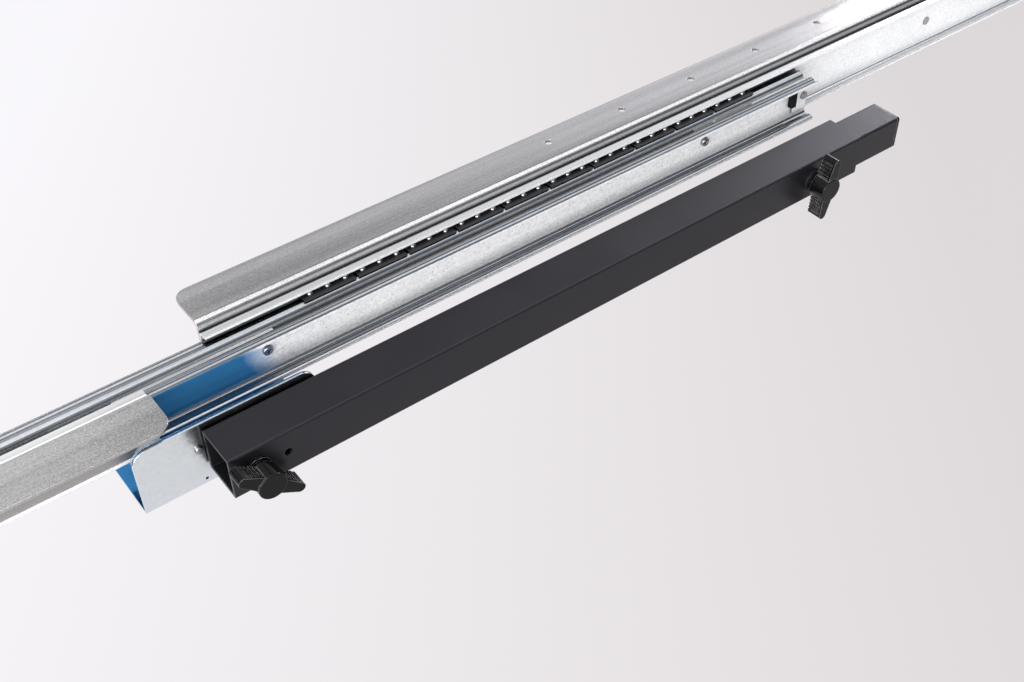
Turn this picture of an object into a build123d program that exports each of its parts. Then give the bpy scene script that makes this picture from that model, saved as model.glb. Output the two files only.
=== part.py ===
"""Table extension slide: three rails on balls, with a swing-down telescopic support leg.

Sizes are in millimetres. X runs along the rails, with 0 at the leg's pivot, in the middle of the
centre rail. Y = 0 is the plane between the two back-to-back inner rails, +Y is the rear rail's side.
Z = 0 is the top of the two mounting flanges, their seating face.

The rear and the front rail are one part, turned by half a turn about Z. Their features are given as
(along, out, z): the distance along the rail, the distance out from the mid-plane, and the height.
"""
import os
from math import cos, radians, sin

from build123d import *

os.makedirs("parts", exist_ok=True)

# Rails: lengths and places along X
rail_length = 980.0
rear_rail_start = 12.0
front_rail_start = 34.0

# Mounting flanges, bent from sheet
flange_sheet = 2.0
flange_reach = 49.0
flange_bend = 5.0
flange_leg_height = 39.0
flange_corner = 9.0
flange_relief = 18.0
flange_relief_drop = 14.0
flange_hole_diameter = 5.5
flange_hole_out = 35.7
flange_hole_pitch = 64.0
flange_hole_first = 269.0
flange_hole_end_margin = 30.0

# Outer channels, which run on the balls from outside
channel_drop = 5.0
channel_height = 41.4
channel_back = 16.0
channel_lip = 8.2
channel_sheet = 1.5
channel_bend = 4.0
channel_lip_corner = 1.2
channel_lip_drop = 2.2

# Rivets that join a flange to its channel
flange_rivet_diameter = 4.0
flange_rivet_head_diameter = 6.5
flange_rivet_head = 1.2
flange_rivet_inner_head = 0.7
flange_rivet_count = 4
flange_rivet_end = 65.0

# Inner rails, back to back, with the plates between them
rail_gap = 3.2
inner_reach = 12.0
inner_sheet = 1.5
inner_bend = 5.0
plate_sheet = 3.0
plate_rise = 12.5
end_spacer_length = 110.0
hanger_half_length = 50.0

# Screws through both webs and the plate between them
web_screw_diameter = 4.0
web_screw_head_diameter = 6.4
web_screw_head = 2.2
web_screw_head_edge = 0.7
web_screw_recess = 3.0
web_screw_recess_depth = 1.2
web_screw_rise = 2.3
web_screw_hanger_edge = 7.0
web_screw_spacer_edge = 8.0
web_nut_flats = 7.0
web_nut_height = 2.4

# Balls and their cages
ball_diameter = 4.5
ball_out = 9.3
ball_pitch = 12.2
balls_per_group = 3
ball_groups = 10
track_play = 0.1
cage_sheet = 0.8
cage_lift = 0.3
cage_inner_edge = 3.8
cage_outer_edge = 12.2
cage_notch = 2.2
cage_spine = 1.6
cage_shift = 6.5

# End stops on the inner rails, and the lug on each channel that meets them
stop_face = 19.0
stop_sheet = 1.2
stop_end = 1.2
stop_height = 18.0
stop_depth = 4.6
bumper_length = 4.0
bumper_height = 14.0
bumper_rise = 4.5
bumper_corner = 1.2
stop_rivet_diameter = 3.0
stop_rivet_head_diameter = 6.0
stop_rivet_head = 1.0
stop_rivet_end = 4.6
lug_sheet = 2.0
lug_height = 8.0
lug_clearance = 0.6

# Leg bracket, bent from sheet
bracket_half_length = 57.0
bracket_sheet = 2.0
bracket_bend = 2.5
bracket_front = 32.3
bracket_rear = 16.0
bracket_top = -24.0
bracket_bottom = -71.0
bracket_corner = 10.0
bracket_pin_hole_diameter = 2.0
bracket_pin_hole_along = -18.8
bracket_pin_hole_rise = 5.0
locating_stud_along = -19.4
locating_stud_diameter = 3.0
locating_stud_head_diameter = 4.8
locating_stud_play = 0.4

# Telescopic leg of two square tubes
tube_size = 30.0
tube_wall = 2.0
tube_corner = 1.5
tube_inside_corner = 0.5
tube_gap = 2.0
tube_start = -16.0
tube_length = 497.0
tube_play = 0.5
inner_tube_wall = 1.5
inner_tube_corner = 2.0
inner_tube_start = 43.0
inner_tube_length = 480.0
foot_thickness = 2.5
foot_edge = 0.6
foot_plug_length = 12.0
foot_plug_play = 0.1
index_hole_diameter = 5.0
index_hole_along = 19.2

# Leg pivot
pivot_z = -42.0
pivot_diameter = 8.0
pivot_head_diameter = 16.0
pivot_head = 3.5
pivot_head_crown = 2.1
pivot_spacer_diameter = 22.0
washer_diameter = 16.0
washer_thickness = 1.5
thread_tip = 0.7
running_play = 0.05
body_gap = 0.3

# Wing knobs
knob_neck_diameter = 13.0
knob_neck = 3.4
knob_hub_diameter = 17.5
knob_hub = 12.0
knob_wing_radius = 23.0
knob_wing_root = 11.0
knob_wing_tip = 6.0
knob_wing_set_back = 1.0
knob_rib_count = 5
knob_rib_pitch = 2.6
knob_rib_groove = 1.2
knob_rib_depth = 0.9
knob_rib_rim = 1.5
knob_cap_wall = 3.5
knob_edge = 0.8
insert_diameter = 11.0
pivot_knob_turn = 38.6
clamp_knob_turn = -80.4

# Leg clamp
clamp_from_end = 46.3
clamp_stud_diameter = 6.0
clamp_nut_diameter = 9.0
clamp_nut_flange_diameter = 16.0

# Worked-out heights and distances
rail_mid_z = -channel_drop - channel_height / 2
inner_height = channel_height - 2 * (channel_sheet + rail_gap)
web_face = plate_sheet / 2 + inner_sheet
lug_tip = web_face + web_nut_height + lug_clearance
ball_rise = channel_height / 2 - channel_sheet - ball_diameter / 2
track_radius = ball_diameter / 2 + track_play
cage_length = ball_pitch * balls_per_group * ball_groups
cage_low = inner_height / 2 + cage_lift
locating_stud_head = tube_gap - locating_stud_play
tube_back = bracket_front + tube_gap
tube_centre = tube_back + tube_size / 2
tube_face = tube_back + tube_size
inner_tube_size = tube_size - 2 * (tube_wall + tube_play)
inner_tube_face = tube_centre + inner_tube_size / 2
clamp_along = tube_start + tube_length - clamp_from_end
knob_stand_off = washer_thickness + 2 * body_gap
knob_back = tube_face + knob_stand_off
knob_face = knob_back + knob_neck + knob_hub
knob_bore_end = knob_face - knob_cap_wall
far = 4 * flange_reach

# The two sides: rear along +X, front turned by half a turn
REAR = 1
FRONT = -1


def section_plane(along, side):
    """Plane across a rail, at a distance along it: its axes are out and z."""
    return Plane(origin=(side * along, 0, 0), x_dir=(0, side, 0), z_dir=(side, 0, 0))


def top_plane(side, z=0.0):
    """Level plane whose axes are along and out."""
    return Plane(origin=(0, 0, z), x_dir=(side, 0, 0), z_dir=(0, 0, 1))


def web_plane(out, side):
    """Upright plane parallel to the webs, facing out: its axes are minus along and z."""
    return Plane(origin=(0, side * out, 0), x_dir=(-side, 0, 0), z_dir=(0, side, 0))


def front_plane(out):
    """Upright plane in front of the rails, facing the front: its axes are X and z."""
    return Plane(origin=(0, -out, 0), x_dir=(1, 0, 0), z_dir=(0, -1, 0))


def save(part, name):
    """Label a finished piece and write it."""
    part.label = name
    export_step(part, f"parts/{name}.step")


def rivet_places():
    """Distances along a rail of the rivets between its flange and its channel."""
    step = (rail_length - 2 * flange_rivet_end) / (flange_rivet_count - 1)
    return [flange_rivet_end + step * i for i in range(flange_rivet_count)]


def stop_rivet_point():
    """Place of an end stop's rivet on a web plane, in line with the web screws."""
    return (rail_length / 2 - stop_rivet_end, rail_mid_z + web_screw_rise)


def web_screw_points():
    """Places of the four screws through the webs, as X and z."""
    z = rail_mid_z + web_screw_rise
    in_hanger = hanger_half_length - web_screw_hanger_edge
    in_spacer = rail_length / 2 - end_spacer_length + web_screw_spacer_edge
    return [(x, z) for x in (-in_spacer, -in_hanger, in_hanger, in_spacer)]


def mounting_flange(start, side):
    """Angle of bent sheet: the flange that is screwed on, and the leg behind the channel."""
    leg_inside = channel_back + flange_sheet
    with BuildPart() as flange:
        with BuildSketch(section_plane(start, side)):
            with Locations((channel_back + far / 2, -far / 2)):
                RectangleRounded(far, far, flange_bend)
            with Locations((leg_inside + far / 2, -flange_sheet - far / 2)):
                RectangleRounded(far, far, flange_bend - flange_sheet, mode=Mode.SUBTRACT)
            with Locations((flange_reach + far / 2, -far / 2)):
                Rectangle(far, 2 * far, mode=Mode.SUBTRACT)
            with Locations((far / 2, -flange_leg_height - far / 2)):
                Rectangle(2 * far, far, mode=Mode.SUBTRACT)
        extrude(amount=rail_length)
        outer_edges = flange.edges().filter_by(Axis.Z).sort_by(Axis.Y)
        free_corners = outer_edges[-2:] if side == REAR else outer_edges[:2]
        fillet(free_corners, flange_corner)

        # The leg's lower corners are cut away on a slant, out of sight behind the channel
        with BuildSketch(web_plane(channel_back - flange_sheet, side)):
            for end, inward in ((start, 1), (start + rail_length, -1)):
                relief_end = end + inward * flange_relief
                outside = end - inward * flange_sheet
                with BuildLine():
                    Polyline(
                        (-outside, -flange_relief_drop),
                        (-end, -flange_relief_drop),
                        (-relief_end, -flange_leg_height),
                        (-relief_end, -flange_leg_height - flange_sheet),
                        (-outside, -flange_leg_height - flange_sheet),
                        close=True,
                    )
                make_face()
        extrude(amount=flange_sheet + flange_bend, mode=Mode.SUBTRACT)

        with BuildSketch(top_plane(side)):
            hole_row = rail_length - flange_hole_first - flange_hole_end_margin
            for i in range(int(hole_row / flange_hole_pitch) + 1):
                with Locations((start + flange_hole_first + i * flange_hole_pitch, flange_hole_out)):
                    Circle(flange_hole_diameter / 2)
        extrude(amount=-flange_sheet, mode=Mode.SUBTRACT)

        with BuildSketch(web_plane(channel_back, side)):
            with Locations(*[(-start - place, rail_mid_z) for place in rivet_places()]):
                Circle(flange_rivet_diameter / 2 + running_play)
        extrude(amount=flange_sheet, mode=Mode.SUBTRACT)
    return flange.part


def outer_channel(start, side):
    """Lipped channel that opens towards the mid-plane, with ball tracks inside its two flanges."""
    depth = channel_back - channel_lip
    web_inside = channel_back - channel_sheet
    room = channel_height / 2 - channel_sheet
    mouth = channel_height / 2 - channel_lip_drop
    with BuildPart() as channel:
        with BuildSketch(section_plane(start, side)) as section:
            with Locations((channel_lip + depth / 2, rail_mid_z)):
                Rectangle(depth, channel_height)
            lip_corners, web_corners = section.vertices().group_by(Axis.X)
            fillet(web_corners, channel_bend)
            fillet(lip_corners, channel_lip_corner)
            with Locations(((ball_out + web_inside) / 2, rail_mid_z)):
                Rectangle(web_inside - ball_out, 2 * room, mode=Mode.SUBTRACT)
            inside_corners = [v for v in section.vertices() if abs(v.X - web_inside) < channel_sheet / 10]
            fillet(inside_corners, channel_bend - channel_sheet)
            with Locations((ball_out / 2, rail_mid_z)):
                Rectangle(ball_out, 2 * mouth, mode=Mode.SUBTRACT)
            with Locations((ball_out, rail_mid_z + ball_rise), (ball_out, rail_mid_z - ball_rise)):
                Circle(track_radius, mode=Mode.SUBTRACT)
        extrude(amount=rail_length)

        # Pressed lug that meets the bumper when the slide is closed
        lug_start = start + stop_face + body_gap
        with BuildSketch(section_plane(lug_start, side)):
            with Locations(((lug_tip + channel_back - channel_sheet / 2) / 2, rail_mid_z)):
                Rectangle(channel_back - channel_sheet / 2 - lug_tip, lug_height)
        extrude(amount=lug_sheet)

        with BuildSketch(web_plane(web_inside, side)):
            with Locations(*[(-start - place, rail_mid_z) for place in rivet_places()]):
                Circle(flange_rivet_diameter / 2 + running_play)
        extrude(amount=channel_sheet, mode=Mode.SUBTRACT)
    return channel.part


def flange_rivets(start, side):
    """Rivets through a channel's web and its flange's leg, low-headed inside the channel."""
    points = [(-start - place, rail_mid_z) for place in rivet_places()]
    web_inside = channel_back - channel_sheet
    leg_outside = channel_back + flange_sheet
    with BuildPart() as rivets:
        with BuildSketch(web_plane(web_inside, side)):
            with Locations(*points):
                Circle(flange_rivet_diameter / 2)
        extrude(amount=leg_outside - web_inside)
        with BuildSketch(web_plane(web_inside, side)):
            with Locations(*points):
                Circle(flange_rivet_head_diameter / 2)
        extrude(amount=-flange_rivet_inner_head)
        with BuildSketch(web_plane(leg_outside, side)):
            with Locations(*points):
                Circle(flange_rivet_head_diameter / 2)
        extrude(amount=flange_rivet_head)
    return rivets.part


def inner_rail(side):
    """Channel that opens outwards, with a ball track pressed into the outside of each flange."""
    half_height = inner_height / 2
    tracks = [(ball_out, rail_mid_z + ball_rise), (ball_out, rail_mid_z - ball_rise)]
    with BuildPart() as rail:
        with BuildSketch(section_plane(-rail_length / 2, side)):
            with Locations((plate_sheet / 2 + far / 2, rail_mid_z)):
                RectangleRounded(far, inner_height, inner_bend)
            with Locations((web_face + far / 2, rail_mid_z)):
                inside_height = inner_height - 2 * inner_sheet
                RectangleRounded(far, inside_height, inner_bend - inner_sheet, mode=Mode.SUBTRACT)
            with Locations(*tracks):
                Circle(track_radius + inner_sheet)
            above = rail_mid_z + half_height + far / 2
            below = rail_mid_z - half_height - far / 2
            with Locations((0, above), (0, below)):
                Rectangle(4 * far, far, mode=Mode.SUBTRACT)
            with Locations((inner_reach + far, rail_mid_z)):
                Rectangle(2 * far, 2 * far, mode=Mode.SUBTRACT)
            with Locations(*tracks):
                Circle(track_radius, mode=Mode.SUBTRACT)
        extrude(amount=rail_length)

        with BuildSketch(web_plane(plate_sheet / 2, side)):
            with Locations(*[(-side * x, z) for x, z in web_screw_points()]):
                Circle(web_screw_diameter / 2 + running_play)
            with Locations(stop_rivet_point()):
                Circle(stop_rivet_diameter / 2 + running_play)
        extrude(amount=inner_sheet, mode=Mode.SUBTRACT)
    return rail.part


def middle_plate(x_low, x_high, z_low):
    """Flat plate between the two webs, drilled for the web screws that cross it."""
    with BuildPart() as plate:
        with BuildSketch(front_plane(-plate_sheet / 2)):
            z_high = rail_mid_z + plate_rise
            with Locations(((x_low + x_high) / 2, (z_low + z_high) / 2)):
                Rectangle(x_high - x_low, z_high - z_low)
            crossing = [point for point in web_screw_points() if x_low < point[0] < x_high]
            with Locations(*crossing):
                Circle(web_screw_diameter / 2 + running_play, mode=Mode.SUBTRACT)
        extrude(amount=plate_sheet)
    return plate.part


def web_screws():
    """Pan-head screws from the front, through both webs."""
    with BuildPart() as screws:
        with BuildSketch(front_plane(web_face)):
            with Locations(*web_screw_points()):
                Circle(web_screw_diameter / 2)
        extrude(amount=-(2 * web_face + web_nut_height))
        with BuildSketch(front_plane(web_face)):
            with Locations(*web_screw_points()):
                Circle(web_screw_head_diameter / 2)
        extrude(amount=web_screw_head)
        rims = screws.faces().filter_by(Axis.Y).group_by(Axis.Y)[0].edges()
        fillet(rims, web_screw_head_edge)
        with BuildSketch(front_plane(web_face + web_screw_head)):
            with Locations(*web_screw_points()):
                RegularPolygon(web_screw_recess / 2, 6)
        extrude(amount=-web_screw_recess_depth, mode=Mode.SUBTRACT)
    return screws.part


def web_nuts():
    """Hexagon nuts on the web screws, inside the rear inner rail."""
    with BuildPart() as nuts:
        with BuildSketch(front_plane(-web_face)):
            with Locations(*web_screw_points()):
                RegularPolygon(web_nut_flats / 2, 6, major_radius=False)
            with Locations(*web_screw_points()):
                Circle(web_screw_diameter / 2 + running_play, mode=Mode.SUBTRACT)
        extrude(amount=-web_nut_height)
    return nuts.part


def stop_plate(side):
    """Angle riveted to an inner rail's web, whose upright carries the bumper."""
    end = -rail_length / 2
    upright = end + stop_face - bumper_length - stop_sheet
    with BuildPart() as plate:
        with BuildSketch(section_plane(end + stop_end, side)):
            with Locations((web_face + stop_sheet / 2, rail_mid_z)):
                Rectangle(stop_sheet, stop_height)
        extrude(amount=upright + stop_sheet - end - stop_end)
        with BuildSketch(section_plane(upright, side)):
            with Locations((web_face + stop_depth / 2, rail_mid_z + bumper_rise)):
                Rectangle(stop_depth, bumper_height)
        extrude(amount=stop_sheet)
        with BuildSketch(web_plane(web_face, side)):
            with Locations(stop_rivet_point()):
                Circle(stop_rivet_diameter / 2 + running_play)
        extrude(amount=stop_sheet, mode=Mode.SUBTRACT)
    return plate.part


def stop_bumper(side):
    """Rubber block on the stop's upright, which the channel's lug meets."""
    with BuildPart() as bumper:
        with BuildSketch(section_plane(-rail_length / 2 + stop_face - bumper_length, side)):
            with Locations((web_face + stop_depth / 2, rail_mid_z + bumper_rise)):
                RectangleRounded(stop_depth, bumper_height, bumper_corner)
        extrude(amount=bumper_length)
    return bumper.part


def stop_rivet(side):
    """Rivet through a stop plate and the web that carries it."""
    plate_face = web_face + stop_sheet
    with BuildPart() as rivet:
        with BuildSketch(web_plane(plate_sheet / 2, side)):
            with Locations(stop_rivet_point()):
                Circle(stop_rivet_diameter / 2)
        extrude(amount=plate_face - plate_sheet / 2)
        with BuildSketch(web_plane(plate_face, side)):
            with Locations(stop_rivet_point()):
                Circle(stop_rivet_head_diameter / 2)
        extrude(amount=stop_rivet_head)
    return rivet.part


def cage_middle(start):
    """Distance along of a cage's middle, near the middle of the overlap of the two rails."""
    return (start + rail_length / 2) / 2 + cage_shift


def ball_places(start):
    """Distances along of the balls in one row."""
    first = cage_middle(start) - cage_length / 2 + ball_pitch / 2
    return [first + ball_pitch * i for i in range(balls_per_group * ball_groups)]


def ball_cage(start, side, row):
    """Notched strip with a hole for each ball. row is 1 for the upper cage and -1 for the lower."""
    width = cage_outer_edge - cage_inner_edge
    middle = cage_middle(start)
    bottom = cage_low if row > 0 else -cage_low - cage_sheet
    with BuildPart() as cage:
        with BuildSketch(top_plane(side, rail_mid_z + bottom)):
            with Locations((middle, cage_inner_edge + width / 2)):
                Rectangle(cage_length, width)
            group_length = ball_pitch * balls_per_group
            notch_depth = width - cage_spine
            for i in range(1, ball_groups):
                notch_place = middle - cage_length / 2 + i * group_length
                with Locations((notch_place, cage_inner_edge + notch_depth / 2)):
                    Rectangle(cage_notch, notch_depth, mode=Mode.SUBTRACT)
            with Locations(*[(place, ball_out) for place in ball_places(start)]):
                Circle(track_radius, mode=Mode.SUBTRACT)
        extrude(amount=cage_sheet)
    return cage.part


def ball_row(start, side, row):
    """One row of loose balls, at the middle of the tracks."""
    z = rail_mid_z + row * ball_rise
    with BuildPart() as balls:
        with Locations(*[(side * place, side * ball_out, z) for place in ball_places(start)]):
            Sphere(ball_diameter / 2)
    return balls.part


def leg_bracket():
    """Angle of bent sheet under the rails: the bottom plate, and the front plate of the pivot."""
    length = 2 * bracket_half_length
    with BuildPart() as bracket:
        with BuildSketch(section_plane(-bracket_half_length, REAR)):
            with Locations((-bracket_front + far / 2, bracket_bottom + far / 2)):
                RectangleRounded(far, far, bracket_bend)
            inside = (-bracket_front + bracket_sheet + far / 2, bracket_bottom + bracket_sheet + far / 2)
            with Locations(inside):
                RectangleRounded(far, far, bracket_bend - bracket_sheet, mode=Mode.SUBTRACT)
            with Locations((bracket_rear + far, bracket_bottom)):
                Rectangle(2 * far, 4 * far, mode=Mode.SUBTRACT)
            with Locations((0, bracket_top + far)):
                Rectangle(4 * far, 2 * far, mode=Mode.SUBTRACT)
        extrude(amount=length)
        upper_corners = bracket.edges().filter_by(Axis.Y).group_by(Axis.Z)[-1]
        fillet(upper_corners, bracket_corner)
        with BuildSketch(front_plane(bracket_front)):
            with Locations((0, pivot_z)):
                Circle(pivot_diameter / 2 + running_play)
            with Locations((locating_stud_along, pivot_z)):
                Circle(locating_stud_diameter / 2 + running_play)
            with Locations((bracket_pin_hole_along, bracket_bottom + bracket_pin_hole_rise)):
                Circle(bracket_pin_hole_diameter / 2)
        extrude(amount=-bracket_sheet, mode=Mode.SUBTRACT)
    return bracket.part


def locating_stud():
    """Low-headed stud riveted into the bracket's front plate beside the pivot."""
    plate_back = bracket_front - bracket_sheet
    with BuildPart() as stud:
        for out, diameter, length in (
            (bracket_front, locating_stud_head_diameter, locating_stud_head),
            (plate_back, locating_stud_diameter, bracket_sheet),
            (plate_back - locating_stud_head, locating_stud_head_diameter, locating_stud_head),
        ):
            with BuildSketch(front_plane(out)):
                with Locations((locating_stud_along, pivot_z)):
                    Circle(diameter / 2)
            extrude(amount=length)
    return stud.part


def pivot_bolt():
    """Bolt from behind the bracket's front plate, through the leg and into the knob."""
    head_back = bracket_front - bracket_sheet
    with BuildPart() as bolt:
        with BuildSketch(front_plane(head_back - pivot_head)):
            with Locations((0, pivot_z)):
                Circle(pivot_head_diameter / 2)
        extrude(amount=pivot_head)
        crown = bolt.faces().sort_by(Axis.Y)[-1].edges()
        fillet(crown, pivot_head_crown)
        with BuildSketch(front_plane(head_back)):
            with Locations((0, pivot_z)):
                Circle(pivot_diameter / 2)
        extrude(amount=knob_bore_end - body_gap - head_back)
        tip = bolt.faces().sort_by(Axis.Y)[0].edges()
        chamfer(tip, thread_tip)
    return bolt.part


def ring(out, thickness, diameter, bore):
    """Flat ring round the pivot, facing the front."""
    with BuildPart() as washer:
        with BuildSketch(front_plane(out)):
            with Locations((0, pivot_z)):
                Circle(diameter / 2)
                Circle(bore / 2, mode=Mode.SUBTRACT)
        extrude(amount=thickness)
    return washer.part


def square_tube(start, length, size, wall, corner):
    """Square tube along X, centred on the leg's axis."""
    with BuildPart() as tube:
        with BuildSketch(section_plane(start, REAR)):
            with Locations((-tube_centre, pivot_z)):
                RectangleRounded(size, size, corner)
                inside = size - 2 * wall
                RectangleRounded(inside, inside, tube_inside_corner, mode=Mode.SUBTRACT)
        extrude(amount=length)
    return tube.part


def outer_tube():
    """Upper tube of the leg, drilled for the pivot, the index hole and the clamp nut."""
    with BuildPart() as tube:
        add(square_tube(tube_start, tube_length, tube_size, tube_wall, tube_corner))
        with BuildSketch(front_plane(tube_face)):
            with Locations((0, pivot_z)):
                Circle(pivot_diameter / 2 + running_play)
            with Locations((index_hole_along, pivot_z)):
                Circle(index_hole_diameter / 2)
        extrude(amount=-tube_size, mode=Mode.SUBTRACT)
        with BuildSketch(front_plane(tube_face)):
            with Locations((clamp_along, pivot_z)):
                Circle(clamp_nut_diameter / 2 + running_play)
        extrude(amount=-tube_wall, mode=Mode.SUBTRACT)
    return tube.part


def foot_cap():
    """Plastic cap on the end of the inner tube, with a plug inside it."""
    end = inner_tube_start + inner_tube_length
    plug = inner_tube_size - 2 * inner_tube_wall - 2 * foot_plug_play
    with BuildPart() as cap:
        with BuildSketch(section_plane(end, REAR)):
            with Locations((-tube_centre, pivot_z)):
                RectangleRounded(inner_tube_size, inner_tube_size, inner_tube_corner)
        extrude(amount=foot_thickness)
        outer_edges = cap.faces().sort_by(Axis.X)[-1].edges()
        fillet(outer_edges, foot_edge)
        with BuildSketch(section_plane(end, REAR)):
            with Locations((-tube_centre, pivot_z)):
                RectangleRounded(plug, plug, inner_tube_corner)
        extrude(amount=-foot_plug_length)
    return cap.part


def wing_knob(along, turn, bore):
    """Two-winged knob with ribbed flanks. turn is the wings' angle, clockwise seen from the front."""
    centre = (along, pivot_z)
    hub_back = knob_back + knob_neck
    tip_centre = knob_wing_radius - knob_wing_tip / 2
    first_rib = tip_centre - knob_rib_groove
    taper = (knob_wing_root - knob_wing_tip) / 2 / tip_centre
    with BuildPart() as knob:
        with BuildSketch(front_plane(knob_back)):
            with Locations(centre):
                Circle(knob_neck_diameter / 2)
        extrude(amount=knob_neck)
        with BuildSketch(front_plane(hub_back)):
            with Locations(centre):
                Circle(knob_hub_diameter / 2)
        extrude(amount=knob_hub)
        fillet(knob.faces().sort_by(Axis.Y)[0].edges(), knob_edge)
        # The ribs stop short of the wings' front faces
        ribbed_length = knob_hub - knob_wing_set_back - knob_rib_rim
        for out, thickness, rib_count in (
            (hub_back, ribbed_length, knob_rib_count),
            (hub_back + ribbed_length, knob_rib_rim, 0),
        ):
            with BuildSketch(front_plane(out)):
                for half_turn in (0, 180):
                    angle = radians(half_turn - turn)
                    with BuildLine():
                        Polyline(
                            wing_point(centre, angle, 0, knob_wing_root / 2),
                            wing_point(centre, angle, tip_centre, knob_wing_tip / 2),
                            wing_point(centre, angle, tip_centre, -knob_wing_tip / 2),
                            wing_point(centre, angle, 0, -knob_wing_root / 2),
                            close=True,
                        )
                    make_face()
                    with Locations(wing_point(centre, angle, tip_centre, 0)):
                        Circle(knob_wing_tip / 2)
                    for flank in (-1, 1):
                        for i in range(rib_count):
                            reach = first_rib - i * knob_rib_pitch
                            height = knob_wing_root / 2 - taper * reach
                            place = wing_point(centre, angle, reach, flank * height)
                            with Locations(Location((*place, 0), (0, 0, half_turn - turn))):
                                Rectangle(knob_rib_groove, 2 * knob_rib_depth, mode=Mode.SUBTRACT)
            extrude(amount=thickness)
        with BuildSketch(front_plane(knob_back)):
            with Locations(centre):
                Circle(bore / 2)
        extrude(amount=knob_bore_end - knob_back, mode=Mode.SUBTRACT)
    return knob.part


def wing_point(centre, angle, reach, rise):
    """Point of a wing, given along the wing and across it."""
    x = centre[0] + reach * cos(angle) - rise * sin(angle)
    z = centre[1] + reach * sin(angle) + rise * cos(angle)
    return (x, z)


def clamp_nut():
    """Flanged nut in the outer tube's front wall."""
    with BuildPart() as nut:
        with BuildSketch(front_plane(tube_face)):
            with Locations((clamp_along, pivot_z)):
                Circle(clamp_nut_flange_diameter / 2)
        extrude(amount=knob_stand_off - body_gap)
        with BuildSketch(front_plane(tube_face)):
            with Locations((clamp_along, pivot_z)):
                Circle(clamp_nut_diameter / 2)
        extrude(amount=-tube_wall)
        with BuildSketch(front_plane(knob_back)):
            with Locations((clamp_along, pivot_z)):
                Circle(clamp_stud_diameter / 2 + running_play)
        extrude(amount=-(tube_wall + knob_stand_off), mode=Mode.SUBTRACT)
    return nut.part


def clamp_stud():
    """Threaded stud moulded into the clamp knob, whose tip presses on the inner tube."""
    with BuildPart() as stud:
        with BuildSketch(front_plane(inner_tube_face + body_gap)):
            with Locations((clamp_along, pivot_z)):
                Circle(clamp_stud_diameter / 2)
        extrude(amount=knob_bore_end - inner_tube_face - body_gap)
        tip = stud.faces().sort_by(Axis.Y)[-1].edges()
        chamfer(tip, thread_tip)
    return stud.part


# Rails, flanges and rivets on both sides
for side_name, side, start in (("rear", REAR, rear_rail_start), ("front", FRONT, front_rail_start)):
    save(outer_channel(start, side), f"{side_name}_channel")
    save(mounting_flange(start, side), f"{side_name}_flange")
    save(flange_rivets(start, side), f"{side_name}_flange_rivets")
    save(inner_rail(side), f"{side_name}_inner_rail")
    save(stop_plate(side), f"{side_name}_stop_plate")
    save(stop_bumper(side), f"{side_name}_stop_bumper")
    save(stop_rivet(side), f"{side_name}_stop_rivet")
    for row_name, row in (("upper", 1), ("lower", -1)):
        save(ball_cage(start, side, row), f"{side_name}_{row_name}_cage")
        save(ball_row(start, side, row), f"{side_name}_{row_name}_balls")

# Plates between the webs, and their screws
rail_end = rail_length / 2
spacer_low = rail_mid_z - plate_rise
save(middle_plate(-rail_end, -rail_end + end_spacer_length, spacer_low), "left_end_spacer")
save(middle_plate(rail_end - end_spacer_length, rail_end, spacer_low), "right_end_spacer")
hanger_low = bracket_bottom + bracket_sheet
save(middle_plate(-hanger_half_length, hanger_half_length, hanger_low), "hanger_plate")
save(web_screws(), "web_screws")
save(web_nuts(), "web_nuts")

# Leg bracket and pivot
pivot_bore = pivot_diameter + 2 * running_play
save(leg_bracket(), "leg_bracket")
save(locating_stud(), "locating_stud")
save(pivot_bolt(), "pivot_bolt")
save(ring(bracket_front, tube_gap - body_gap, pivot_spacer_diameter, pivot_bore), "pivot_spacer")
save(ring(tube_face + body_gap, washer_thickness, washer_diameter, pivot_bore), "pivot_washer")
save(wing_knob(0, pivot_knob_turn, insert_diameter + 2 * running_play), "pivot_knob")
save(ring(knob_back, knob_bore_end - knob_back, insert_diameter, pivot_bore), "pivot_insert")

# Telescopic leg and its clamp
save(outer_tube(), "outer_tube")
save(
    square_tube(inner_tube_start, inner_tube_length, inner_tube_size, inner_tube_wall, inner_tube_corner),
    "inner_tube",
)
save(foot_cap(), "foot_cap")
save(clamp_nut(), "clamp_nut")
save(wing_knob(clamp_along, clamp_knob_turn, clamp_stud_diameter + 2 * running_play), "clamp_knob")
save(clamp_stud(), "clamp_stud")
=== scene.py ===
"""Looks of the table extension slide: finishes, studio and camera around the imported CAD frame.

Lengths are in metres, in the CAD frame: X along the rails, Y to the rear rail, Z up to the flanges' tops.
"""

import bpy
from mathutils import Matrix, Vector

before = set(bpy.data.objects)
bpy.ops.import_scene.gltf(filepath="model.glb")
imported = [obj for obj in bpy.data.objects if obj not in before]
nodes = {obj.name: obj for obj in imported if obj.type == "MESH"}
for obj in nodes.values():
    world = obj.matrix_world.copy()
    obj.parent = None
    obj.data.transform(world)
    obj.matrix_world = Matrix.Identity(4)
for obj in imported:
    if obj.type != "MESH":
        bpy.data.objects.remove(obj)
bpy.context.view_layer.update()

MM = 0.001

# Camera, worked out from the straight edges of the photograph
IMAGE_WIDTH = 1024
FOCAL_PIXELS = 1302.08
SENSOR_WIDTH_MM = 36.0
CAMERA_PLACE = Vector((-0.1713, -0.5331, 0.488))
CAMERA_RIGHT = Vector((0.79729, -0.60343, -0.01435))
CAMERA_UP = Vector((0.41658, 0.53289, 0.73654))
CAMERA_NEAR = 0.01
CAMERA_FAR = 50.0

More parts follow.
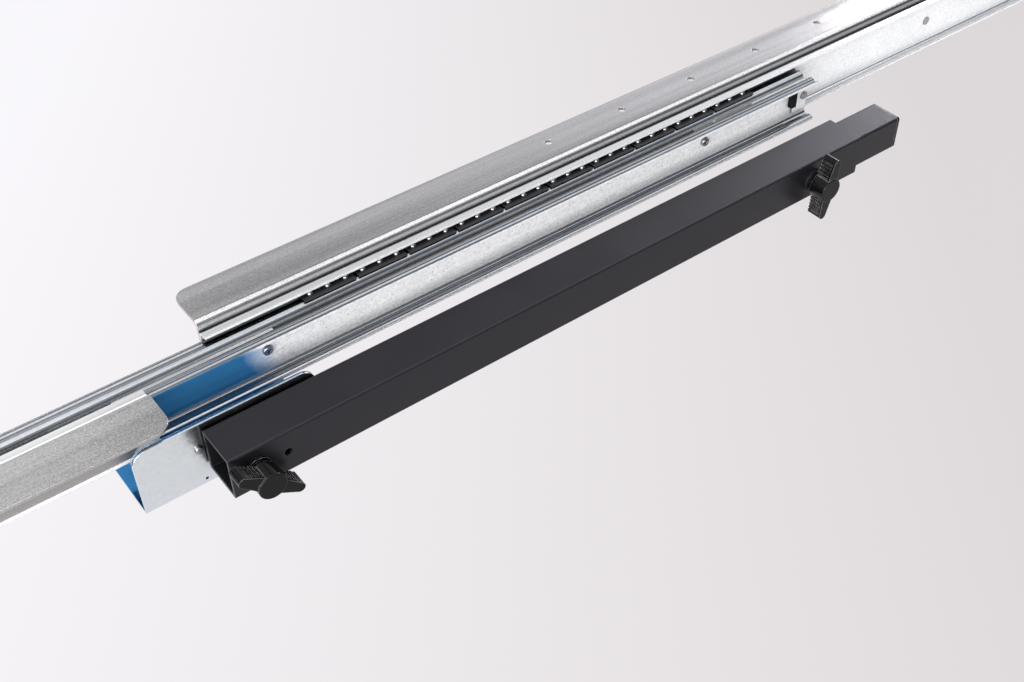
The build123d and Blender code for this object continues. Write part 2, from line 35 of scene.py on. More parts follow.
# Studio floor: it glows brighter to the rear left, over a span of Y less the slant times X
FLOOR_Z = -0.92
FLOOR_HALF = 7.0
FLOOR_COLOUR = (0.80, 0.78, 0.79, 1.0)
FLOOR_ROUGH = 0.9
FLOOR_GLOSS = 0.1
FLOOR_GLOW_BRIGHT = (0.97, 0.955, 0.99, 1.0)
FLOOR_GLOW_DIM = (0.71, 0.67, 0.675, 1.0)
FLOOR_GLOW_SHARE = 0.93
FLOOR_GLOW_SLANT = 1.2
FLOOR_GLOW_SPAN = (-1.4, 1.4)

# Even light that falls from the surround
LIGHT_LEVEL = (0.35, 0.35, 0.36, 1.0)

# Surround as reflections show it, in stops of height and colour, where the height is a direction's Z
BACK_SURROUND = (
    (0.30, (0.97, 0.95, 0.98)),
    (0.43, (1.00, 0.98, 1.00)),
    (0.49, (0.94, 0.94, 1.00)),
    (0.57, (0.72, 0.72, 0.75)),
    (0.63, (0.70, 0.70, 0.72)),
    (0.71, (0.42, 0.41, 0.42)),
    (0.88, (0.48, 0.48, 0.50)),
)
FRONT_SURROUND = (
    (0.00, (0.84, 0.81, 0.82)),
    (0.03, (0.56, 0.55, 0.55)),
    (0.10, (0.18, 0.18, 0.19)),
    (0.26, (0.05, 0.055, 0.06)),
    (0.46, (0.16, 0.19, 0.23)),
    (0.70, (0.58, 0.61, 0.66)),
    (0.90, (0.60, 0.60, 0.62)),
)
LEFT_SURROUND = (1.00, 1.00, 1.00, 1.0)
FRONT_LEFT_SHARE = 0.60
# A direction's X where the surround turns to the left one, and its Y where it turns to the back one
LEFT_CUT = (0.25, 0.12)
BACK_CUT = (-0.30, 0.15)

WHITE_LIGHT = (1.0, 1.0, 1.0)
COOL_LIGHT = (0.94, 0.94, 1.0)
LAMPS = {
    "left_key_softbox": {
        "place": (-4.0, -2.12, 1.24),
        "target": (0.1, 0.0, -0.02),
        "width": 2.4,
        "height": 2.4,
        "power": 170.0,
        "colour": WHITE_LIGHT,
    },
    "front_fill_softbox": {
        "place": (-0.9, -2.2, 0.7),
        "target": (0.3, 0.0, -0.03),
        "width": 1.6,
        "height": 1.2,
        "power": 46.0,
        "colour": WHITE_LIGHT,
    },
    "overhead_softbox": {
        "place": (0.5, -0.1, 1.5),
        "target": (0.5, -0.1, 0.0),
        "width": 3.6,
        "height": 1.5,
        "power": 24.0,
        "colour": WHITE_LIGHT,
    },
    "right_back_softbox": {
        "place": (2.60, 0.80, 1.00),
        "target": (0.45, 0.0, 0.0),
        "width": 1.1,
        "height": 0.8,
        "power": 32.0,
        "colour": COOL_LIGHT,
    },
}

# Levels at which a mask is 0 and at which it is 1
STREAK_CUT = (0.32, 0.68)
PAINTED_BAND_CUT = (0.36, 0.64)
PATCH_CUT = (0.35, 0.62)
SPECK_CUT = (0.68, 0.74)
SMUDGE_CUT = (0.35, 0.68)
GRAIN_CUT = (0.35, 0.65)
EDGE_TURN_CUT = (0.995, 0.80)
HOLLOW_CUT = (0.82, 0.32)
FULL_FACING = 0.97

# Shares and scales inside the effects
LEAST_EDGE_WEAR_AND_SHEEN = 0.25
EDGE_WEAR_AND_SHEEN_PATCHES_PER_METRE = 160.0
WAVES_PER_METRE_ALONG = 1.6
FLAKE_WANDER = 0.7
MASK_SAMPLES = 4

# Inputs and output of the Mix node that hold colours
MIX_FIRST_COLOUR = 6
MIX_SECOND_COLOUR = 7
MIX_RESULT_COLOUR = 2

# Finishes: colours are linear, a pair is a range, and a bump is its strength and depth
RAIL_ZINC = {
    "name": "rail_zinc",
    "light": (0.90, 0.90, 0.905, 1.0),
    "dark": (0.38, 0.42, 0.46, 1.0),
    "flake_size": 1.3 * MM,
    "flake_tilt": 0.05,
    "rolled_tilt": 0.008,
    "flake_share": 0.26,
    "rolled_flake_share": 0.06,
    "flake_haze": 0.4,
    "lines_per_metre": 900.0,
    "streak_length": 0.30,
    "streak_bump": (0.2, 0.1 * MM),
    "line_share": 0.30,
    "matt_line_share": 0.12,
    "painted_band_share": 0.0,
    "smudge_size": 50 * MM,
    "smudge_share": 0.08,
    "smudge_haze": 0.6,
    "wave_width": 12 * MM,
    "wave_bump": (1.0, 0.15 * MM),
    "matt_rough": (0.40, 0.54),
    "rolled_rough": (0.12, 0.22),
    "matt_metallic": 0.10,
    "rolled_metallic": 0.85,
    "edge": (0.88, 0.88, 0.88, 1.0),
    "edge_radius": 0.4 * MM,
    "edge_share": 0.4,
    # Painted shade: the colour that grooves, inner corners and gaps between parts darken to
    "hollow": (0.05, 0.055, 0.06, 1.0),
    "hollow_reach": 10 * MM,
    "hollow_share": 0.92,
    "rolled_shade": 0.0,
    "matt_shade": 0.0,
    "gloss": 0.2,
}
# The inner rails' flanges are drawn darker and smoother than the outer channels: the darker tone is
# painted shade
INNER_ZINC = RAIL_ZINC | {
    "name": "inner_rail_zinc",
    "dark": (0.25, 0.265, 0.288, 1.0),
    "rolled_tilt": 0.004,
    "line_share": 0.40,
    "rolled_rough": (0.12, 0.20),
    "rolled_metallic": 1.0,
    "rolled_shade": 0.66,
}
# The front inner rail's web beside the bracket has a painted blue reflection of the bracket, which fades
# out to the right
BLUE_REFLECTION_ZINC = INNER_ZINC | {
    "name": "film_zinc",
    # Colour of the painted reflection of the blue bracket
    "film": (0.05, 0.25, 0.52, 1.0),
    "film_rough": 0.28,
    "film_metallic": 0.50,
}
BLUE_REFLECTION_LEFT = -62.0 * MM
BLUE_REFLECTION_RIGHT = 31.0 * MM
BLUE_REFLECTION_FADE = 14.0 * MM
BLUE_REFLECTION_RAGGED = 7.0 * MM
BLUE_REFLECTION_SLANT = 0.45
BLUE_REFLECTION_CLOUDS_PER_METRE = 60.0
FLANGE_ZINC = RAIL_ZINC | {
    "name": "flange_zinc",
    "light": (0.78, 0.77, 0.78, 1.0),
    "dark": (0.36, 0.355, 0.35, 1.0),
    "flake_size": 0.5 * MM,
    "flake_tilt": 0.06,
    "rolled_tilt": 0.055,
    "flake_share": 0.30,
    "rolled_flake_share": 0.42,
    "line_share": 0.22,
    # Painted reflection bands along the flange
    "painted_band_share": 0.60,
    "wave_width": 20 * MM,
    "wave_bump": (1.0, 0.5 * MM),
    "rolled_rough": (0.14, 0.22),
    "matt_metallic": 0.85,
    "rolled_metallic": 1.0,
}
# The front flange is a darker copy of the rear flange's finish: the darker tone is painted shade
FRONT_FLANGE_ZINC = FLANGE_ZINC | {
    "name": "front_flange_zinc",
    "rolled_shade": 0.28,
    "matt_shade": 0.45,
}
# The bracket's film is blue; behind its front plate and above its bottom plate it is painted deep blue, as
# painted shade and painted reflections between the plates
BRACKET_ZINC = RAIL_ZINC | {
    "name": "bracket_blue_zinc",
    "light": (0.86, 0.92, 0.94, 1.0),
    "dark": (0.62, 0.71, 0.77, 1.0),
    "inside": (0.04, 0.22, 0.50, 1.0),
    "flake_size": 2.5 * MM,
    "flake_tilt": 0.03,
    "flake_share": 0.20,
    "line_share": 0.25,
    "matt_rough": (0.20, 0.32),
    "matt_metallic": 1.0,
    "rolled_metallic": 1.0,
}
BRACKET_INSIDE_Y = -31.3 * MM
BRACKET_INSIDE_Z = -70.0 * MM
SCREW_ZINC = RAIL_ZINC | {
    "name": "screw_zinc",
    "light": (0.58, 0.59, 0.61, 1.0),
    "dark": (0.28, 0.29, 0.31, 1.0),
    "flake_size": 0.5 * MM,
    "flake_tilt": 0.02,
    "flake_share": 0.20,
    "matt_rough": (0.20, 0.34),
    "rolled_rough": (0.20, 0.34),
    "matt_metallic": 1.0,
    "rolled_metallic": 1.0,
    "edge_radius": 0.3 * MM,
}
CAGE_PLASTIC = {
    "name": "cage_plastic",
    "low": (0.006, 0.006, 0.007, 1.0),
    "high": (0.014, 0.014, 0.016, 1.0),
    # Painted highlight along the cage's rounded edges
    "edge": (0.20, 0.20, 0.21, 1.0),
    "edge_share": 0.80,
    "edge_radius": 0.2 * MM,
    "rough": (0.22, 0.38),
    "smudge_size": 15 * MM,
    "grain_size": 0.3 * MM,
    "grain_bump": (0.16, 0.1 * MM),
    "gloss": 0.45,
    "gloss_tint": (1.0, 1.0, 1.0, 1.0),
}
KNOB_PLASTIC = CAGE_PLASTIC | {
    "name": "knob_plastic",
    "low": (0.002, 0.002, 0.002, 1.0),
    "high": (0.004, 0.004, 0.004, 1.0),
    # Painted highlight along the knobs' rib edges
    "edge": (0.50, 0.50, 0.51, 1.0),
    "edge_radius": 0.45 * MM,
    "rough": (0.10, 0.17),
    "grain_size": 0.25 * MM,
    "gloss": 0.18,
}
LEG_COAT = {
    "name": "leg_powder_coat",
    "low": (0.0040, 0.0040, 0.0048, 1.0),
    "high": (0.0080, 0.0080, 0.0100, 1.0),
    # Painted highlight along the coat's rounded edges
    "edge": (0.05, 0.05, 0.053, 1.0),
    "edge_share": 0.6,
    "edge_radius": 0.8 * MM,
    "rough": (0.34, 0.44),
    "smudge_size": 70 * MM,
    "grain_size": 0.6 * MM,
    "grain_bump": (0.22, 0.15 * MM),
    "gloss": 0.36,
    "gloss_tint": (0.88, 0.87, 1.0, 1.0),
}
BUMPER_RUBBER = {
    "name": "bumper_rubber",
    "clean": (0.004, 0.004, 0.004, 1.0),
    "dusty": (0.012, 0.012, 0.013, 1.0),
    "dust_share": 0.6,
    "dust_size": 6 * MM,
    "edge_radius": 0.5 * MM,
    "rough": (0.62, 0.80),
    "grain_size": 0.4 * MM,
    "grain_bump": (0.25, 0.1 * MM),
    "gloss": 0.1,
}
BALL_STEEL = {
    "name": "ball_steel",
    "clean": (0.26, 0.26, 0.27, 1.0),
    "greasy": (0.18, 0.175, 0.17, 1.0),
    "grease_size": 3 * MM,
    "rough": (0.05, 0.18),
}
INSERT_BRASS = {
    "name": "turned_brass",
    "light": (0.72, 0.50, 0.20, 1.0),
    "dark": (0.56, 0.38, 0.14, 1.0),
    "grain_size": 0.3 * MM,
    "rough": (0.22, 0.36),
}


def plug(tree, value, socket):
    """Link a socket to an input, or set the input to a plain value."""
    if isinstance(value, bpy.types.NodeSocket):
        tree.links.new(value, socket)
    else:
        socket.default_value = value


def feed(tree, node, **sockets):
    """Set or link a node's inputs by name, with underscores for the spaces."""
    for name, value in sockets.items():
        plug(tree, value, node.inputs[name.replace("_", " ")])


def add(tree, kind, props=None, **sockets):
    """Add a shader node, set its properties, and set or link its inputs by name."""
    made = tree.nodes.new(kind)
    for name, value in (props or {}).items():
        setattr(made, name, value)
    feed(tree, made, **sockets)
    return made


def maths(tree, operation, first, second=0.0):
    """Result of one arithmetic step on two sockets or numbers."""
    step = add(tree, "ShaderNodeMath", {"operation": operation})
    plug(tree, first, step.inputs[0])
    plug(tree, second, step.inputs[1])
    return step.outputs[0]


def times(tree, first, second):
    """Product of two sockets or numbers."""
    return maths(tree, "MULTIPLY", first, second)


def total(tree, first, *others):
    """Sum of sockets or numbers."""
    for other in others:
        first = maths(tree, "ADD", first, other)
    return first


def cut(tree, value, levels):
    """Mask that is 0 at the first level, 1 at the second, and even between them."""
    low, high = levels
    return add(tree, "ShaderNodeMapRange", Value=value, From_Min=low, From_Max=high).outputs["Result"]


def between(tree, share, first, second):
    """Value between two values, by a share from 0 to 1."""
    return add(tree, "ShaderNodeMapRange", Value=share, To_Min=first, To_Max=second).outputs["Result"]


def mix_colours(tree, share, first, second):
    """Colour between two colours."""
    step = add(tree, "ShaderNodeMix", {"data_type": "RGBA"}, Factor=share)
    plug(tree, first, step.inputs[MIX_FIRST_COLOUR])
    plug(tree, second, step.inputs[MIX_SECOND_COLOUR])
    return step.outputs[MIX_RESULT_COLOUR]


def vector_maths(tree, operation, first, second):
    """Result of one step on two vectors."""
    step = add(tree, "ShaderNodeVectorMath", {"operation": operation})
    plug(tree, first, step.inputs[0])
    plug(tree, second, step.inputs[1])
    return step.outputs[0]


def scaled(tree, vector, factor):
    """Vector made longer or shorter."""
    step = add(tree, "ShaderNodeVectorMath", {"operation": "SCALE"}, Scale=factor)
    plug(tree, vector, step.inputs[0])
    return step.outputs[0]


def object_point(tree):
    """Point on the surface, in the piece's own frame, so that a finish moves with its piece."""
    return add(tree, "ShaderNodeTexCoord").outputs["Object"]


def parts_of(tree, vector):
    """X, Y and Z of a vector."""
    return add(tree, "ShaderNodeSeparateXYZ", Vector=vector).outputs


def noise(tree, point, scale, **settings):
    """Noise over points, as a value about 0.5 and as a colour."""
    return add(tree, "ShaderNodeTexNoise", Vector=point, Scale=scale, **settings).outputs


def long_noise(tree, along, across, **settings):
    """Noise drawn out along the rails, with its scales along and across them."""
    scales = add(tree, "ShaderNodeCombineXYZ", X=along, Y=across, Z=across).outputs[0]
    point = vector_maths(tree, "MULTIPLY", object_point(tree), scales)
    return noise(tree, point, 1.0, **settings)[0]


def new_group(name, inputs, outputs):
    """Shader group with named inputs and their defaults, and named outputs with their socket types."""
    tree = bpy.data.node_groups.new(name, "ShaderNodeTree")
    for socket_name, default in inputs.items():
        socket_type = "NodeSocketVector" if isinstance(default, tuple) else "NodeSocketFloat"
        socket = tree.interface.new_socket(socket_name, in_out="INPUT", socket_type=socket_type)
        socket.default_value = default
    for socket_name, socket_type in outputs.items():
        tree.interface.new_socket(socket_name, in_out="OUTPUT", socket_type=socket_type)
    return tree, tree.nodes.new("NodeGroupInput").outputs, tree.nodes.new("NodeGroupOutput").inputs


def place_group(tree, group, **values):
    """Put a group in a material, with its own values."""
    made = add(tree, "ShaderNodeGroup", {"node_tree": group}, **values)
    return made.outputs


def make_rolling_streaks():
    """Long faint lines that the rolling mill leaves along the sheet."""
    tree, given, result = new_group(
        "rolling_streaks",
        {"Lines Per Metre": 900.0, "Streak Length": 0.25},
        {"Streak": "NodeSocketFloat", "Height": "NodeSocketFloat"},
    )
    along = maths(tree, "DIVIDE", 1.0, given["Streak Length"])
    lines = long_noise(tree, along, given["Lines Per Metre"], Detail=3.0, Roughness=0.6)
    plug(tree, cut(tree, lines, STREAK_CUT), result["Streak"])
    plug(tree, lines, result["Height"])
    return tree


def make_zinc_spangle():
    """Crystal flakes of a zinc coat: each flake has its own shade, and tilts the surface its own way."""
    tree, given, result = new_group(
        "zinc_spangle",
        {"Flake Size": 0.002, "Tilt": 0.1, "Normal": (0.0, 0.0, 1.0)},
        {"Flake": "NodeSocketFloat", "Normal": "NodeSocketVector"},
    )
    point = object_point(tree)
    scale = maths(tree, "DIVIDE", 1.0, given["Flake Size"])
    wander = noise(tree, point, times(tree, scale, FLAKE_WANDER), Detail=2.0)["Color"]
    ragged_point = vector_maths(tree, "ADD", point, scaled(tree, wander, given["Flake Size"]))
    flakes = add(tree, "ShaderNodeTexVoronoi", Vector=ragged_point, Scale=scale).outputs["Color"]
    plug(tree, add(tree, "ShaderNodeSeparateColor", Color=flakes).outputs[0], result["Flake"])

    centred = vector_maths(tree, "ADD", flakes, (-0.5, -0.5, -0.5))
    tilted = vector_maths(tree, "ADD", given["Normal"], scaled(tree, centred, given["Tilt"]))
    unit = add(tree, "ShaderNodeVectorMath", {"operation": "NORMALIZE"})
    plug(tree, tilted, unit.inputs[0])
    plug(tree, unit.outputs[0], result["Normal"])
    return tree


def make_sheet_waves():
    """Shallow waves that roll forming leaves along a sheet, which band its reflections."""
    tree, given, result = new_group("sheet_waves", {"Wave Width": 0.02}, {"Height": "NodeSocketFloat"})
    across = maths(tree, "DIVIDE", 1.0, given["Wave Width"])
    plug(tree, long_noise(tree, WAVES_PER_METRE_ALONG, across, Detail=1.0), result["Height"])
    return tree


def make_matt_webs():
    """Mask of the upright webs, which the forming rolls left matt."""
    tree, given, result = new_group("matt_webs", {"Least Facing": 0.80}, {"Matt": "NodeSocketFloat"})
    facing = parts_of(tree, add(tree, "ShaderNodeTexCoord").outputs["Normal"])
    across = maths(tree, "ABSOLUTE", facing["Y"])
    plug(tree, cut(tree, across, (given["Least Facing"], FULL_FACING)), result["Matt"])
    return tree


def make_edge_wear_and_sheen():
    """Mask of rounded edges, broken up along their length: rubbed bright on the zinc, and a painted
    highlight on the black parts.
    """
    tree, given, result = new_group(
        "edge_wear_and_sheen",
        {"Edge Radius": 0.0006},
        {"Edge": "NodeSocketFloat", "Normal": "NodeSocketVector"},
    )
    rounded = add(tree, "ShaderNodeBevel", {"samples": MASK_SAMPLES}, Radius=given["Edge Radius"])
    facing = add(tree, "ShaderNodeVectorMath", {"operation": "DOT_PRODUCT"})
    plug(tree, rounded.outputs[0], facing.inputs[0])
    plug(tree, add(tree, "ShaderNodeNewGeometry").outputs["Normal"], facing.inputs[1])
    turned = cut(tree, facing.outputs["Value"], EDGE_TURN_CUT)
    patches = noise(tree, object_point(tree), EDGE_WEAR_AND_SHEEN_PATCHES_PER_METRE, Detail=4.0)[0]
    edge_breakup = between(tree, cut(tree, patches, PATCH_CUT), LEAST_EDGE_WEAR_AND_SHEEN, 1.0)
    plug(tree, times(tree, turned, edge_breakup), result["Edge"])
    plug(tree, rounded.outputs[0], result["Normal"])
    return tree


def make_shaded_hollows():
    """Mask of grooves and inner corners, also where parts meet, for painted shade that darkens the colour.
    """
    tree, given, result = new_group("shaded_hollows", {"Reach": 0.006}, {"Hollow": "NodeSocketFloat"})
    opening = add(tree, "ShaderNodeAmbientOcclusion", {"samples": MASK_SAMPLES}, Distance=given["Reach"])
    plug(tree, cut(tree, opening.outputs["AO"], HOLLOW_CUT), result["Hollow"])
    return tree


def make_dirt_specks():
    """Sparse dark specks of dirt on a matt sheet."""
    tree, given, result = new_group("dirt_specks", {"Speck Size": 0.0012}, {"Speck": "NodeSocketFloat"})
    scale = maths(tree, "DIVIDE", 1.0, given["Speck Size"])
    spots = noise(tree, object_point(tree), scale, Detail=2.0)[0]
    plug(tree, cut(tree, spots, SPECK_CUT), result["Speck"])
    return tree


def make_handling_marks():
    """Cloudy smudges of handling."""
    tree, given, result = new_group("handling_marks", {"Smudge Size": 0.04}, {"Smudge": "NodeSocketFloat"})
    scale = maths(tree, "DIVIDE", 1.0, given["Smudge Size"])
    clouds = noise(tree, object_point(tree), scale, Detail=5.0, Roughness=0.62)[0]
    plug(tree, cut(tree, clouds, SMUDGE_CUT), result["Smudge"])
    return tree


def make_fine_grain():
    """Fine bumps of powder coat, moulded plastic, rubber or turned metal."""
    tree, given, result = new_group(
        "fine_grain",
        {"Grain Size": 0.0005},
        {"Speckle": "NodeSocketFloat", "Height": "NodeSocketFloat"},
    )
    scale = maths(tree, "DIVIDE", 1.0, given["Grain Size"])
    bumps = noise(tree, object_point(tree), scale, Detail=2.0, Roughness=0.5)[0]
    plug(tree, cut(tree, bumps, GRAIN_CUT), result["Speckle"])
    plug(tree, bumps, result["Height"])
    return tree


rolling_streaks = make_rolling_streaks()
zinc_spangle = make_zinc_spangle()
sheet_waves = make_sheet_waves()
matt_webs = make_matt_webs()
edge_wear_and_sheen = make_edge_wear_and_sheen()
shaded_hollows = make_shaded_hollows()
dirt_specks = make_dirt_specks()
handling_marks = make_handling_marks()
fine_grain = make_fine_grain()


def new_material(name):
    """New material: its node tree and its Principled shader."""
    material = bpy.data.materials.new(name)
    material.use_nodes = True
    return material, material.node_tree, material.node_tree.nodes["Principled BSDF"]


def raise_bump(tree, height, bump, normal):
    """Normal with a bump of a look's strength and depth on it."""
    strength, depth = bump
    raised = add(tree, "ShaderNodeBump", Height=height, Strength=strength, Distance=depth, Normal=normal)
    return raised.outputs[0]


def painted_blue_reflection(tree):
    """1 on the stretch of the web beside the bracket, where its blue reflection is painted, fading out on
    a slant at its right end.
    """
    place = parts_of(tree, object_point(tree))
    clouds = noise(tree, object_point(tree), BLUE_REFLECTION_CLOUDS_PER_METRE, Detail=4.0)[0]
    ragged = between(tree, clouds, -BLUE_REFLECTION_RAGGED, BLUE_REFLECTION_RAGGED)
    along = total(tree, place["X"], times(tree, place["Z"], BLUE_REFLECTION_SLANT), ragged)
    started = maths(tree, "GREATER_THAN", place["X"], BLUE_REFLECTION_LEFT)
    return times(tree, started, cut(tree, along, (BLUE_REFLECTION_RIGHT, BLUE_REFLECTION_RIGHT - BLUE_REFLECTION_FADE)))


def inside_bracket(tree):
    """1 on the bracket's inner faces, which get the painted deep blue, and 0 on the faces that show."""
    place = parts_of(tree, object_point(tree))
    behind = maths(tree, "GREATER_THAN", place["Y"], BRACKET_INSIDE_Y)
    return times(tree, behind, maths(tree, "GREATER_THAN", place["Z"], BRACKET_INSIDE_Z))


def zinc_sheet(look):
    """Zinc-coated sheet of one look: matt flaky webs, and flanges that the rolls drew bright, with painted
    shade in its hollows.
    """
    material, tree, shader = new_material(look["name"])
    matt = place_group(tree, matt_webs)["Matt"]
    edges = place_group(tree, edge_wear_and_sheen, Edge_Radius=look["edge_radius"])
    spangle = place_group(
        tree,
        zinc_spangle,
        Flake_Size=look["flake_size"],
        Tilt=between(tree, matt, look["rolled_tilt"], look["flake_tilt"]),
        Normal=edges["Normal"],
    )
    streaks = place_group(
        tree,
        rolling_streaks,
        Lines_Per_Metre=look["lines_per_metre"],
        Streak_Length=look["streak_length"],
    )
    waves = place_group(tree, sheet_waves, Wave_Width=look["wave_width"])["Height"]
    smudge = place_group(tree, handling_marks, Smudge_Size=look["smudge_size"])["Smudge"]
    hollow = place_group(tree, shaded_hollows, Reach=look["hollow_reach"])["Hollow"]
    specks = times(tree, place_group(tree, dirt_specks)["Speck"], matt)

    flake_share = between(tree, matt, look["rolled_flake_share"], look["flake_share"])
    line_share = between(tree, matt, look["line_share"], look["matt_line_share"])
    shade = total(
        tree,
        times(tree, spangle["Flake"], flake_share),
        times(tree, streaks["Streak"], line_share),
        times(tree, smudge, look["smudge_share"]),
        # Painted reflection bands, following the sheet's waves
        times(tree, cut(tree, waves, PAINTED_BAND_CUT), look["painted_band_share"]),
        specks,
        # Painted shade on the looks that are darker copies of a finish
        between(tree, matt, look["rolled_shade"], look["matt_shade"]),
    )
    colour = mix_colours(tree, shade, look["light"], look["dark"])
    # Painted shade and reflections deepen the blue on the bracket's inner faces
    if "inside" in look:
        colour = mix_colours(tree, inside_bracket(tree), colour, look["inside"])
    colour = mix_colours(tree, times(tree, edges["Edge"], look["edge_share"]), colour, look["edge"])
    # Painted shade darkens grooves, inner corners and gaps between parts
    colour = mix_colours(tree, times(tree, hollow, look["hollow_share"]), colour, look["hollow"])
    metallic = between(tree, matt, look["rolled_metallic"], look["matt_metallic"])

    flake_haze = times(tree, spangle["Flake"], look["flake_haze"])
    haze = total(tree, flake_haze, times(tree, smudge, look["smudge_haze"]))
    matt_rough = between(tree, haze, *look["matt_rough"])
    rolled_rough = between(tree, haze, *look["rolled_rough"])
    rough = between(tree, matt, rolled_rough, matt_rough)
    # Painted reflection of the blue bracket on the web beside it
    if "film" in look:
        film = times(tree, painted_blue_reflection(tree), matt)
        colour = mix_colours(tree, film, colour, look["film"])
        metallic = between(tree, film, metallic, look["film_metallic"])
        rough = between(tree, film, rough, look["film_rough"])
    wavy = raise_bump(tree, waves, look["wave_bump"], spangle["Normal"])
    normal = raise_bump(tree, streaks["Height"], look["streak_bump"], wavy)
    feed(tree, shader, Base_Color=colour, Metallic=metallic, Roughness=rough, Normal=normal)
    feed(tree, shader, Specular_IOR_Level=look["gloss"])
    return material


def grained_black(look):
    """Black powder coat or moulded plastic: a fine grain, and rounded edges painted lighter as a painted
    highlight.
    """
    material, tree, shader = new_material(look["name"])
    grain = place_group(tree, fine_grain, Grain_Size=look["grain_size"])
    smudge = place_group(tree, handling_marks, Smudge_Size=look["smudge_size"])["Smudge"]
    edges = place_group(tree, edge_wear_and_sheen, Edge_Radius=look["edge_radius"])
    colour = mix_colours(tree, grain["Speckle"], look["low"], look["high"])
    # Painted highlight on the rounded edges
    colour = mix_colours(tree, times(tree, edges["Edge"], look["edge_share"]), colour, look["edge"])
    normal = raise_bump(tree, grain["Height"], look["grain_bump"], edges["Normal"])
    feed(tree, shader, Base_Color=colour, Roughness=between(tree, smudge, *look["rough"]), Normal=normal)
    feed(tree, shader, Specular_IOR_Level=look["gloss"], Specular_Tint=look["gloss_tint"])
    return material


def dusty_rubber(look):
    """Black rubber with a dusty bloom."""
    material, tree, shader = new_material(look["name"])
    grain = place_group(tree, fine_grain, Grain_Size=look["grain_size"])
    smudge = place_group(tree, handling_marks, Smudge_Size=look["dust_size"])["Smudge"]
    edges = place_group(tree, edge_wear_and_sheen, Edge_Radius=look["edge_radius"])
    colour = mix_colours(tree, times(tree, smudge, look["dust_share"]), look["clean"], look["dusty"])
    rough = between(tree, grain["Speckle"], *look["rough"])
    normal = raise_bump(tree, grain["Height"], look["grain_bump"], edges["Normal"])
    feed(tree, shader, Base_Color=colour, Roughness=rough, Normal=normal)
    feed(tree, shader, Specular_IOR_Level=look["gloss"])
    return material


def greased_steel(look):
    """Polished bearing steel with a thin film of grease."""
    material, tree, shader = new_material(look["name"])
    smudge = place_group(tree, handling_marks, Smudge_Size=look["grease_size"])["Smudge"]
    colour = mix_colours(tree, smudge, look["clean"], look["greasy"])
    feed(tree, shader, Base_Color=colour, Roughness=between(tree, smudge, *look["rough"]), Metallic=1.0)
    return material


def turned_brass(look):
    """Brass with the fine marks of turning."""
    material, tree, shader = new_material(look["name"])
    speckle = place_group(tree, fine_grain, Grain_Size=look["grain_size"])["Speckle"]
    colour = mix_colours(tree, speckle, look["light"], look["dark"])
    feed(tree, shader, Base_Color=colour, Roughness=between(tree, speckle, *look["rough"]), Metallic=1.0)
    return material


def paint(material, *names):
    """Give CAD nodes a finish."""
    for name in names:
        slots = nodes[name].data.materials
        slots.clear()
        slots.append(material)


def both_sides(*endings):
    """Node names of the rear and the front side."""
    return [f"{side}_{ending}" for side in ("rear", "front") for ending in endings]


bright_zinc = zinc_sheet(RAIL_ZINC)
inner_zinc = zinc_sheet(INNER_ZINC)
film_zinc = zinc_sheet(BLUE_REFLECTION_ZINC)
rear_dull_zinc = zinc_sheet(FLANGE_ZINC)
front_dull_zinc = zinc_sheet(FRONT_FLANGE_ZINC)
blue_zinc = zinc_sheet(BRACKET_ZINC)
screw_zinc = zinc_sheet(SCREW_ZINC)

paint(bright_zinc, *both_sides("channel", "stop_plate"))
paint(bright_zinc, "left_end_spacer", "right_end_spacer", "hanger_plate")
paint(inner_zinc, "rear_inner_rail")
paint(film_zinc, "front_inner_rail")
paint(rear_dull_zinc, "rear_flange")
paint(front_dull_zinc, "front_flange")
paint(blue_zinc, "leg_bracket")
paint(screw_zinc, *both_sides("flange_rivets", "stop_rivet"), "web_screws", "web_nuts", "locating_stud")
paint(screw_zinc, "pivot_bolt", "pivot_spacer", "clamp_stud")
paint(greased_steel(BALL_STEEL), *both_sides("upper_balls", "lower_balls"))
paint(grained_black(CAGE_PLASTIC), *both_sides("upper_cage", "lower_cage"))
paint(dusty_rubber(BUMPER_RUBBER), *both_sides("stop_bumper"))
paint(grained_black(LEG_COAT), "outer_tube", "inner_tube", "clamp_nut")
paint(grained_black(KNOB_PLASTIC), "pivot_knob", "clamp_knob", "foot_cap", "pivot_washer")
paint(turned_brass(INSERT_BRASS), "pivot_insert")


def seen_ray(tree):
    """1 for what the camera, a reflection or a see-through surface sees, and 0 for light that falls."""
    path = add(tree, "ShaderNodeLightPath").outputs
    seen = maths(tree, "MAXIMUM", path["Is Camera Ray"], path["Is Glossy Ray"])
    return maths(tree, "MAXIMUM", seen, path["Is Transmission Ray"])


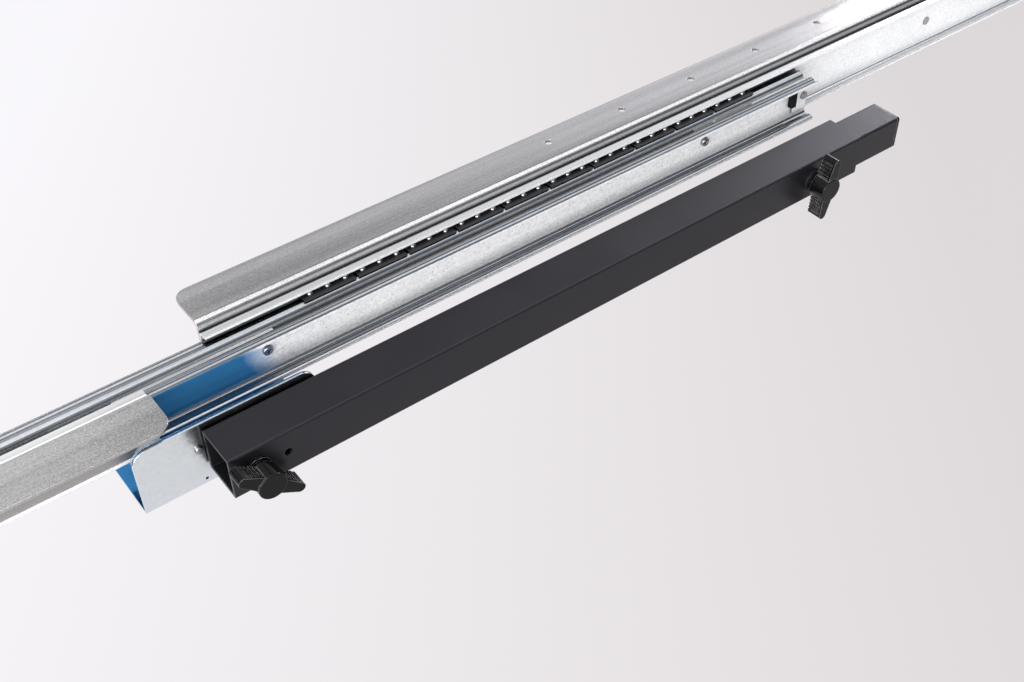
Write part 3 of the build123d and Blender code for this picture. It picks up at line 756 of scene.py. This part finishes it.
def make_floor():
    """Pale floor that glows to the eye and in reflections, and keeps a soft shadow."""
    mesh = bpy.data.meshes.new("studio_floor")
    around = ((-1, -1), (1, -1), (1, 1), (-1, 1))
    corners = [(x * FLOOR_HALF, y * FLOOR_HALF, FLOOR_Z) for x, y in around]
    mesh.from_pydata(corners, [], [(0, 1, 2, 3)])
    floor = bpy.data.objects.new("studio_floor", mesh)
    bpy.context.scene.collection.objects.link(floor)

    material, tree, shader = new_material("studio_floor")
    feed(tree, shader, Base_Color=FLOOR_COLOUR, Roughness=FLOOR_ROUGH, Specular_IOR_Level=FLOOR_GLOSS)
    place = parts_of(tree, object_point(tree))
    away = maths(tree, "SUBTRACT", place["Y"], times(tree, place["X"], FLOOR_GLOW_SLANT))
    light = mix_colours(tree, cut(tree, away, FLOOR_GLOW_SPAN), FLOOR_GLOW_DIM, FLOOR_GLOW_BRIGHT)
    glow = add(tree, "ShaderNodeEmission", Color=light, Strength=1.0)
    blend = add(tree, "ShaderNodeMixShader", Fac=times(tree, seen_ray(tree), FLOOR_GLOW_SHARE))
    plug(tree, shader.outputs[0], blend.inputs[1])
    plug(tree, glow.outputs[0], blend.inputs[2])
    plug(tree, blend.outputs[0], tree.nodes["Material Output"].inputs["Surface"])
    mesh.materials.append(material)


def height_ramp(tree, height, stops):
    """Colour by height, from stops of height and colour."""
    ramp = add(tree, "ShaderNodeValToRGB", Fac=height)
    marks = ramp.color_ramp.elements
    while len(marks) < len(stops):
        marks.new(1.0)
    for mark, (position, colour) in zip(marks, stops):
        mark.position = position
        mark.color = (*colour, 1.0)
    return ramp.outputs["Color"]


def make_world():
    """Studio surround: pale at the back and the left, dim in front, and even where it only lights."""
    world = bpy.data.worlds.new("studio")
    world.use_nodes = True
    bpy.context.scene.world = world
    tree = world.node_tree
    way = parts_of(tree, add(tree, "ShaderNodeTexCoord").outputs["Generated"])
    on_left = cut(tree, way["X"], LEFT_CUT)
    back = mix_colours(tree, on_left, height_ramp(tree, way["Z"], BACK_SURROUND), LEFT_SURROUND)
    front_left = times(tree, on_left, FRONT_LEFT_SHARE)
    front = mix_colours(tree, front_left, height_ramp(tree, way["Z"], FRONT_SURROUND), LEFT_SURROUND)
    shown = mix_colours(tree, cut(tree, way["Y"], BACK_CUT), front, back)
    colour = mix_colours(tree, seen_ray(tree), LIGHT_LEVEL, shown)
    feed(tree, tree.nodes["Background"], Color=colour, Strength=1.0)


def make_softbox(name, place, target, width, height, power, colour):
    """Rectangular lamp that faces a point."""
    data = bpy.data.lights.new(name, "AREA")
    data.shape = "RECTANGLE"
    data.size = width
    data.size_y = height
    data.energy = power
    data.color = colour
    lamp = bpy.data.objects.new(name, data)
    lamp.location = place
    lamp.rotation_mode = "QUATERNION"
    lamp.rotation_quaternion = (Vector(target) - Vector(place)).to_track_quat("-Z", "Y")
    lamp.visible_camera = False
    bpy.context.scene.collection.objects.link(lamp)


def make_camera():
    """Camera at the photograph's place, with its lens."""
    data = bpy.data.cameras.new("photo_camera")
    data.sensor_width = SENSOR_WIDTH_MM
    data.lens = FOCAL_PIXELS / IMAGE_WIDTH * SENSOR_WIDTH_MM
    data.clip_start = CAMERA_NEAR
    data.clip_end = CAMERA_FAR
    camera = bpy.data.objects.new("photo_camera", data)
    back = CAMERA_RIGHT.cross(CAMERA_UP)
    turned = Matrix((CAMERA_RIGHT, CAMERA_UP, back)).transposed().to_4x4()
    camera.matrix_world = Matrix.Translation(CAMERA_PLACE) @ turned
    bpy.context.scene.collection.objects.link(camera)
    bpy.context.scene.camera = camera


make_floor()
make_world()
for lamp_name, lamp_values in LAMPS.items():
    make_softbox(lamp_name, **lamp_values)
make_camera()
bpy.context.scene.view_settings.view_transform = "Standard"
